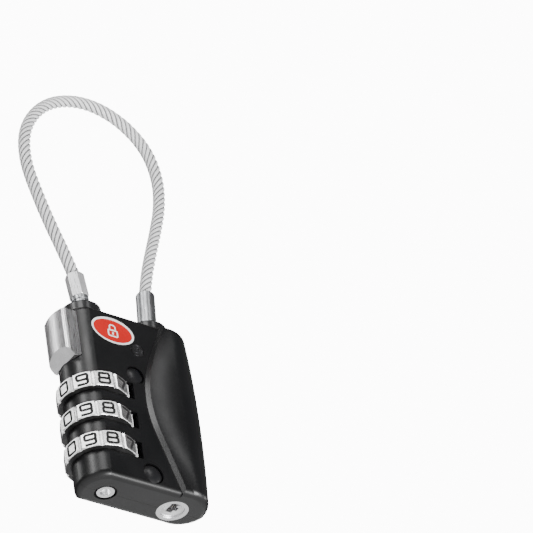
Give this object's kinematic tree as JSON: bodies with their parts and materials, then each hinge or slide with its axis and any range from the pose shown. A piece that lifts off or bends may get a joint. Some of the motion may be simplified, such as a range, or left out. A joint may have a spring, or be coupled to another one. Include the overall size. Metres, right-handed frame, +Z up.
{
  "type": "cable luggage lock",
  "caption": "Small travel lock with number dials, a sliding release button, a key override in the base and a looped vinyl-covered wire cable.",
  "frame": {"origin": "centre of the housing's footprint (button and dials included), on the flat base face", "axes": "+Z up from the base to the cable loop, +X to the right as the dials are read, -Y out of the front face"},
  "size_m": [0.035, 0.0142, 0.1011],
  "materials": {
    "black_enamel": "gloss",
    "black_collar": "satin",
    "black_rivet": "gloss",
    "dial_metal": "satin",
    "button_metal": "brushed",
    "inner_metal": "satin",
    "reset_metal": "polished",
    "spring_steel": "bright",
    "plug_steel": "satin",
    "ferrule_light": "satin",
    "ferrule_grey": "satin",
    "wire_rope": "stranded",
    "clear_vinyl": "gloss",
    "key_metal": "satin",
    "wafer_brass": "satin",
    "badge_rim": "gloss",
    "badge_enamel": "gloss",
    "medallion_metal": "satin"
  },
  "bodies": {
    "body": {"front_housing": "black_enamel", "rear_housing": "black_enamel", "free_end_collar": "black_collar", "fixed_end_collar": "black_collar", "detent_spring": "spring_steel", "reset_spring": "spring_steel", "hairpin_catch": "spring_steel", "button_spring": "spring_steel", "ejector_spring": "spring_steel", "key_cylinder_shell": "key_metal", "badge_bezel": "badge_rim", "badge_plate": "badge_enamel", "medallion": "medallion_metal", "rivet_upper": "black_rivet", "rivet_lower": "black_rivet", "wire_rope": "wire_rope", "cable_jacket": "clear_vinyl"},
    "dial_1": {"dial_1": "dial_metal", "clutch_ring_1": "inner_metal"},
    "dial_2": {"dial_2": "dial_metal", "clutch_ring_2": "inner_metal"},
    "dial_3": {"dial_3": "dial_metal", "clutch_ring_3": "inner_metal"},
    "button": {"release_button": "button_metal", "button_slider": "inner_metal"},
    "plug": {"free_ferrule": "ferrule_light", "locking_pin": "plug_steel"},
    "fixed_end": {"fixed_ferrule": "ferrule_grey", "swivel_stem": "plug_steel", "retaining_ring": "spring_steel"},
    "reset": {"reset_pin": "reset_metal", "dial_spindle": "inner_metal"},
    "key_barrel": {"key_plug": "key_metal", "key_wafers": "wafer_brass", "tail_cam": "inner_metal"},
    "override": {"override_slide": "inner_metal"}
  },
  "joints": [
    {"name": "dial_1_turn", "type": "hinge", "parent": "body", "child": "dial_1", "pos_m": [-0.00788, 0, 0.0218], "axis": [0, 0, 1], "continuous": true},
    {"name": "dial_2_turn", "type": "hinge", "parent": "body", "child": "dial_2", "pos_m": [-0.00788, 0, 0.0148], "axis": [0, 0, 1], "continuous": true},
    {"name": "dial_3_turn", "type": "hinge", "parent": "body", "child": "dial_3", "pos_m": [-0.00788, 0, 0.0078], "axis": [0, 0, 1], "continuous": true},
    {"name": "button_press", "type": "slide", "parent": "body", "child": "button", "axis": [0, 0, -1], "range_m": [0, 0.003], "stiffness_N_per_m": 400, "springref_m": -0.001, "deforming": ["button_spring", "hairpin_catch"]},
    {"name": "plug_slide", "type": "slide", "parent": "body", "child": "plug", "axis": [-0.1132, 0, 0.9936], "range_m": [0, 0.012], "deforming": ["wire_rope", "cable_jacket", "ejector_spring", "hairpin_catch"]},
    {"name": "cable_swivel", "type": "hinge", "parent": "body", "child": "fixed_end", "pos_m": [0.00781, 0, 0.043], "axis": [0.0767, 0, 0.9971], "range_deg": [-90, 90], "deforming": ["wire_rope", "cable_jacket"]},
    {"name": "reset_press", "type": "slide", "parent": "body", "child": "reset", "axis": [0, 0, 1], "range_m": [0, 0.0012], "stiffness_N_per_m": 800, "springref_m": -0.0005, "deforming": ["reset_spring"]},
    {"name": "key_turn", "type": "hinge", "parent": "body", "child": "key_barrel", "pos_m": [0.00722, 0, 0], "axis": [0, 0, 1], "range_deg": [0, 90]},
    {"name": "override_move", "type": "slide", "parent": "body", "child": "override", "axis": [-1, 0, 0], "range_m": [0, 0.0015], "deforming": ["hairpin_catch"]}
  ],
  "couplings": [
    {"joint": "key_turn", "follows": "override_move", "rad_per_m": 1047.1}
  ]
}
